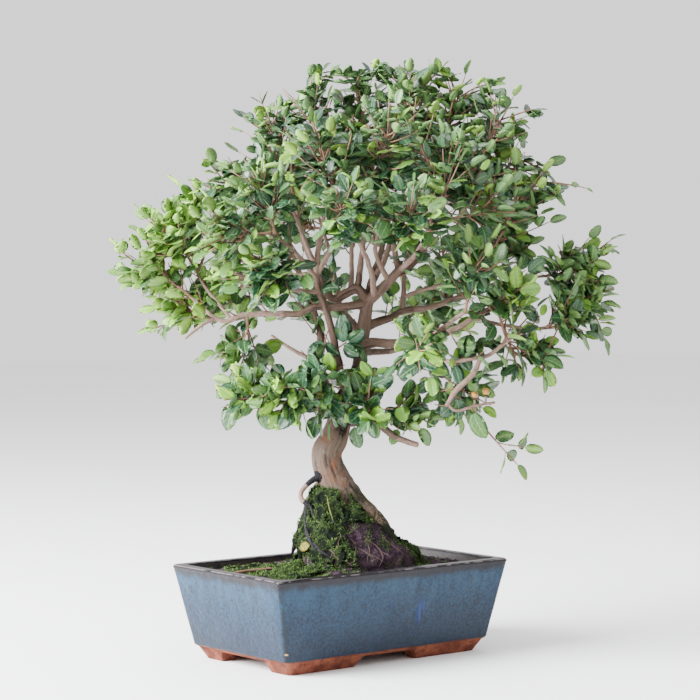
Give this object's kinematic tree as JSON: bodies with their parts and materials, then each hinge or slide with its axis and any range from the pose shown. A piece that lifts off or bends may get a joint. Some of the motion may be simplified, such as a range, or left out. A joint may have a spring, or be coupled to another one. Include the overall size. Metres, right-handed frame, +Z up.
{
  "type": "potted bonsai tree",
  "caption": "Round-headed sageretia bonsai with exposed roots on a mossy mound, in a rectangular blue glazed pot on four feet.",
  "frame": {"origin": "below the middle of the bounding box, in the plane of the pot's foot soles", "axes": "+X along the pot's long side, +Y along its short side, +Z up"},
  "size_m": [0.3774, 0.3632, 0.5352],
  "materials": {
    "glaze": "glossy steel-blue glaze with fine dark speckles, broken to purple-brown at the rim",
    "terracotta": "bare orange-brown stoneware, matte",
    "screen": "black plastic mesh",
    "soil": "dark damp potting soil",
    "moss": "living moss, matte",
    "bark": "pale beige-brown bark, matte, grooved along the grain",
    "leaf": "living leaf, dark green, glossy on top",
    "berry": "small firm fruit, yellow-brown, soft sheen",
    "dry_leaf": "dry yellow leaf, matte"
  },
  "bodies": {
    "root": {"pot": "glaze", "drain_screen_left": "screen", "drain_screen_right": "screen", "soil": "soil", "moss_mound": "moss", "moss_right": "moss", "moss_back": "moss", "trunk": "bark", "fallen_twig": "bark", "fallen_leaf": "dry_leaf", "berry_left": "berry", "berry_right": "berry", "spray_01": "leaf", "spray_02": "leaf", "spray_03": "leaf", "spray_04": "leaf", "spray_05": "leaf", "spray_06": "leaf", "spray_07": "leaf", "spray_08": "leaf", "spray_09": "leaf", "spray_10": "leaf", "spray_11": "leaf", "spray_12": "leaf", "spray_13": "leaf", "spray_14": "leaf", "spray_15": "leaf", "spray_16": "leaf", "spray_17": "leaf", "spray_18": "leaf", "spray_19": "leaf", "spray_20": "leaf", "spray_21": "leaf", "spray_22": "leaf", "spray_23": "leaf", "spray_24": "leaf", "spray_25": "leaf", "spray_26": "leaf", "spray_27": "leaf", "spray_28": "leaf", "spray_29": "leaf", "spray_30": "leaf", "spray_31": "leaf", "spray_32": "leaf", "spray_33": "leaf", "spray_34": "leaf", "spray_35": "leaf", "spray_36": "leaf", "spray_37": "leaf", "spray_38": "leaf", "spray_39": "leaf", "spray_40": "leaf", "spray_41": "leaf", "spray_42": "leaf", "spray_43": "leaf", "spray_44": "leaf", "spray_45": "leaf", "spray_46": "leaf", "spray_47": "leaf", "spray_48": "leaf"}
  },
  "joints": []
}
